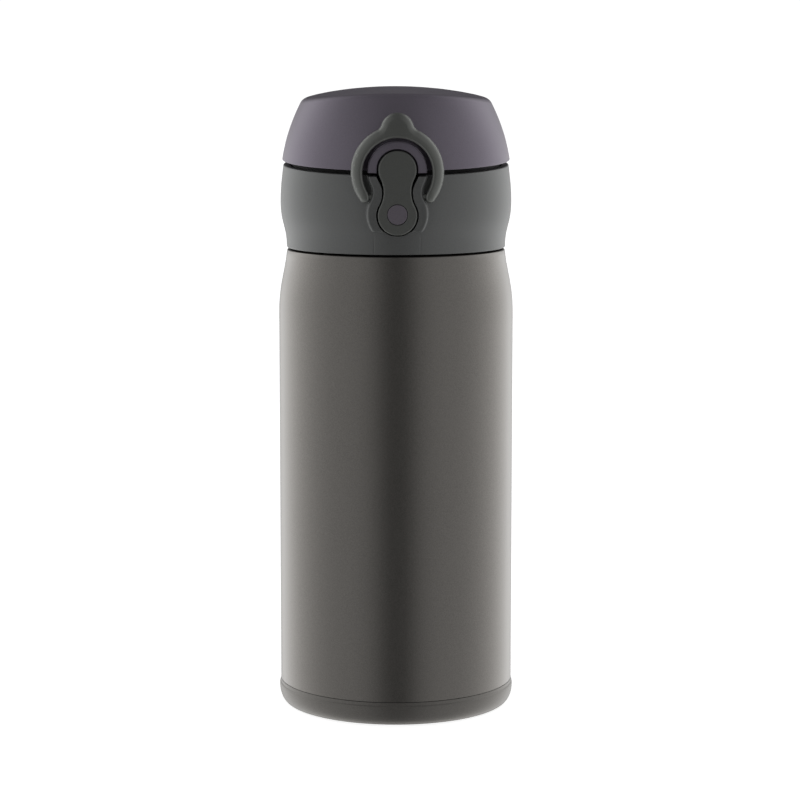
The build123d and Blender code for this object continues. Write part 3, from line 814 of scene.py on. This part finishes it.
# ---------------------------------------------------------------- bottle
inside, neck_bore, under_lip = body_radius - shell_wall, neck_radius - shell_wall, lip - shell_wall
shell_section = (
    outline((inside, shell_foot), (body_radius, shell_foot, 0.1), (body_radius, 20.0))[:-1]
    + [(body_radius, z) for z in np.linspace(12, 107, 20)]
    + along(shoulder_radius, 108, 129.15, 0.9)
    + outline(
        (30.7, 129.2), (30.62, ledge, 0.5), (neck_radius, ledge, 0.6), (neck_radius, lip, 1.3),
        (mouth_radius, lip, 0.12), (mouth_radius, under_lip), (neck_bore, under_lip, 0.8),
        (neck_bore, ledge - shell_wall, 1.2), (30.0, ledge - shell_wall, 0.3), (30.12, 129.0),
    )
    + along(shoulder_radius, 128.8, 108, 1.2, shell_wall)
)
fitted(turned("bottle_shell", shell_section, 320), body_paint, "flask", "painted_shell", "outer_shell")
neck_thread = screw_ridge("neck_thread", neck_radius, True, thread_start, thread_turns)
fitted(neck_thread, body_paint, "flask", "painted_shell")

heel_bend = [
    (cup_radius - heel_in + heel_in * math.sin(a), heel_high - heel_high * math.cos(a))
    for a in np.linspace(0, math.pi / 2, 22)
]
cup_section = (
    outline((0.0, base_low), (base_radius, base_low, 0.5), (foot_inner, 0.0, 0.5), (foot_outer, 0.0))
    + heel_bend
    + outline(
        (cup_radius, 5.0), (33.3, 5.5, 0.4), (33.06, 5.8, 0.1),
        (cup_rim, cup_top, 0.12), (cup_bore, cup_top), (cup_bore, 4.9),
    )
    + [(30.3 + 2.1 * math.cos(a), 4.9 - 4.1 * math.sin(a)) for a in np.linspace(0.1, math.pi / 2, 10)]
    + [(26.6, 0.8), (25.4, base_high), (0.0, base_high)]
)
fitted(turned("bottle_cup", cup_section, 320), cup_paint, "flask", "painted_shell", "base_cup")

# ---------------------------------------------------------------- cap unit
degree = math.radians(1)
front_fine = 25 * degree
back_fine = 23 * degree
half_turn = math.pi
latch_step, hinge_step, plain_step = 0.4 * degree, 0.55 * degree, 1.5 * degree
around = stations(
    (-half_turn, -half_turn + back_fine, hinge_step),
    (-half_turn + back_fine, -front_fine, plain_step),
    (-front_fine, front_fine, latch_step),
    (front_fine, half_turn - back_fine, plain_step),
    (half_turn - back_fine, half_turn, hinge_step),
)


def rising(low, high, start=0.0, end=1.0):
    """A smooth change from start at the low height to end at the high one."""

    def share(level):
        t = np.clip((level - low) / (high - low), 0, 1)
        return start + (end - start) * t * t * (3 - 2 * t)

    return share


collar_axes = (
    around,
    stations((28.6, 30.0, 0.35), (30.0, 38.5, 0.25)),
    stations(
        (129.8, 131.2, 0.14), (131.2, 136.0, 0.4), (136.0, 152.4, 0.24),
        (152.4, 154.6, 0.13), (154.6, 157.4, 0.3),
    ),
)
collar = carved("collar", collar_field, collar_axes, round_the_axis(rising(132, 150)), loop=True)
fitted(collar, collar_plastic, "cap_unit", "collar_plastic", "collar_shell")

# rim inside the seam, its upper edge level with the seam all round; its near-black colour is painted shade
# that makes the seam read black
rim_section = outline(
    (rim_inner, rim_foot, 0.1), (rim_outer, rim_foot, 0.1),
    (rim_outer, rim_top, 0.3), (rim_inner, rim_top, 0.3),
)
rim = turned("inner_rim", rim_section)
for vertex in rim.data.vertices:
    if vertex.co.z > (rim_foot + rim_top) / 2 * MM:
        vertex.co.z += seam_slope * vertex.co.y
fitted(rim, painted_shade_rim, "cap_unit", "inner_plastic")

lid_axes = (
    around,
    stations((0.0, 20.0, 1.0), (20.0, 28.0, 0.4), (28.0, 37.5, 0.25)),
    stations(
        (149.8, 154.0, 0.4), (154.0, 155.6, 0.12), (155.6, 162.6, 0.25),
        (162.6, 170.1, 0.4), (170.1, 175.5, 0.3),
    ),
)
lid_levels = round_the_axis(rising(158, 170, 1, 0), rising(158, 170))
lid = carved("lid", lid_field, lid_axes, lid_levels, loop=True, axis_cell=1.2)
fitted(lid, lid_plastic, "lid", "lid_plastic", "lid_shell")

ring_axes = (
    stations((-13.2, 13.2, 0.2)),
    stations((-36.8, -29.8, 0.2)),
    stations((143.8, 169.6, 0.2)),
)
ring = carved("locking_ring", ring_field, ring_axes)
fitted(ring, latch_plastic, "ring", "latch_plastic", "lock_ring")

lever_axes = (
    stations((-6.0, 6.0, 0.15)),
    stations((-35.6, -29.4, 0.16)),
    stations((135.2, 159.4, 0.15)),
)
lever = carved("push_lever", lever_field, lever_axes)
fitted(lever, latch_plastic, "button", "latch_plastic", "button_lever")

dot_axes = (
    stations((-3.1, 3.1, 0.11)),
    stations((-35.3, -33.8, 0.1)),
    stations((138.3, 144.7, 0.11)),
)
dot = carved("thumb_dot", dot_field, dot_axes)
fitted(dot, dot_plastic, "button", "lid_plastic", "button_dot")

# torsion spring: coil and lower leg stay with the collar, the upper leg moves with the lid
leg_y = hinge_y - coil_radius
winding = [
    (
        coil_half * (2 * t - 1),
        hinge_y - coil_radius * math.cos(2 * math.pi * coil_turns * t),
        hinge_z - coil_radius * math.sin(2 * math.pi * coil_turns * t),
    )
    for t in np.linspace(0, 1, 40 * coil_turns + 1)
]
winding += [(coil_half, leg_y, hinge_z - drop) for drop in np.linspace(*lower_leg, 9)]
hinge_coil = wire("hinge_coil", winding, coil_wire, (1, 0, 0))
fitted(hinge_coil, spring_steel, "cap_unit", "spring_steel", "hinge_spring")

leg_path = [(-coil_half, leg_y, hinge_z + rise) for rise in np.linspace(*upper_leg, 7)]
hinge_coil_leg = wire("hinge_coil_leg", leg_path, coil_wire, (1, 0, 0))
fitted(hinge_coil_leg, spring_steel, "lid", "spring_steel")

for node, material in {
    "inner_vessel": drawn_steel,
    "radiation_foil": copper_foil,
    "outer_bottom": drawn_steel,
    "vacuum_seal": dull_solder,
    "getter_pellet": getter_metal,
    "thread_sleeve": inner_plastic,
    "spout": spout_plastic,
    "neck_gasket": clear_rubber,
    "button_pin": pin_steel,
    "button_spring": spring_steel,
    "hinge_pin": pin_steel,
    "lid_liner": inner_plastic,
    "lid_gasket": clear_rubber,
}.items():
    finish_with(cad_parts[node], material)

# ---------------------------------------------------------------- stage, light and camera
def grey(level):
    return level, level, level, 1


half_floor = 4.0
floor_corners = [(x * half_floor, y * half_floor, 0) for x, y in ((-1, -1), (1, -1), (1, 1), (-1, 1))]
floor_mesh = bpy.data.meshes.new("floor")
floor_mesh.from_pydata(floor_corners, [], [(0, 1, 2, 3)])
floor = bpy.data.objects.new("floor", floor_mesh)
bpy.context.scene.collection.objects.link(floor)
pale = Surface("pale_floor")
pale.set(Base_Color=grey(0.9), Roughness=0.9, Emission_Color=grey(1), Emission_Strength=0.8)
finish_with(floor, pale.material)
floor.visible_glossy = floor.visible_diffuse = False

world = bpy.data.worlds.new("studio")
bpy.context.scene.world = world
world.use_nodes = True
sky = world.node_tree
background = sky.nodes["Background"]
direction = sky.nodes.new("ShaderNodeTexCoord").outputs["Generated"]
parts = sky.nodes.new("ShaderNodeSeparateXYZ")
sky.links.new(direction, parts.inputs[0])


def ramp(source, *stops):
    made = sky.nodes.new("ShaderNodeValToRGB")
    elements = made.color_ramp.elements
    while len(elements) < len(stops):
        elements.new(0.5)
    for element, (at, level) in zip(elements, stops):
        element.position = at
        element.color = grey(level)
    sky.links.new(source, made.inputs[0])
    return made.outputs[0]


def sky_mix(factor, first, second):
    made = sky.nodes.new("ShaderNodeMix")
    made.data_type = "RGBA"
    for value, socket in ((factor, made.inputs["Factor"]), (first, made.inputs[6]), (second, made.inputs[7])):
        if isinstance(value, tuple):
            socket.default_value = value
        else:
            sky.links.new(value, socket)
    return made.outputs[2]


def sky_maths(operation, first, second=0.0):
    made = sky.nodes.new("ShaderNodeMath")
    made.operation = operation
    for value, socket in zip((first, second), made.inputs):
        if isinstance(value, float):
            socket.default_value = value
        else:
            sky.links.new(value, socket)
    return made.outputs[0]


# A studio that is dark straight in front of the flask and brighter round to its back, with a dark
# strip straight behind, a dark backdrop above the table's height there and a dim ceiling.
across_x, across_y, upward = parts.outputs["X"], parts.outputs["Y"], parts.outputs["Z"]
squares = sky_maths("POWER", across_x, 2.0), sky_maths("POWER", across_y, 2.0)
level_reach = sky_maths("SQRT", sky_maths("ADD", *squares))
backward = sky_maths("DIVIDE", across_y, level_reach)
front_to_back = sky_maths("ADD", sky_maths("MULTIPLY", backward, 0.5), 0.5)
sides = ramp(
    front_to_back,
    (0.0, 0.048), (0.01, 0.073), (0.035, 0.2), (0.1, 0.27), (0.3, 0.3), (0.45, 0.38),
    (0.65, 0.6), (0.8, 0.88), (0.93, 1.0), (0.985, 0.5), (1.0, 0.18),
)
behind, above = ramp(front_to_back, (0.86, 0.0), (0.99, 1.0)), ramp(upward, (0.0, 0.0), (0.16, 1.0))
walls = sky_mix(sky_maths("MULTIPLY", behind, above), sides, grey(0.04))
ceiling = ramp(upward, (0.5, 0.0), (0.95, 1.0))
studio = sky_mix(ceiling, walls, grey(0.09))
seen_directly = sky.nodes.new("ShaderNodeLightPath").outputs["Is Camera Ray"]
sky.links.new(sky_mix(seen_directly, studio, grey(0.6)), background.inputs["Color"])
background.inputs["Strength"].default_value = 1.75

scene = bpy.context.scene
scene.view_settings.view_transform = "Standard"

camera_data = bpy.data.cameras.new("camera")
camera_data.sensor_width = 36.0
camera_data.lens = 121.4
camera_data.shift_x = 0.005
camera_data.clip_start = 0.01
camera = bpy.data.objects.new("camera", camera_data)
scene.collection.objects.link(camera)
camera.location = (-0.009, -0.7595, 0.1897)
camera.rotation_euler = (math.radians(90 - 7.73), 0, math.radians(-0.68))
scene.camera = camera
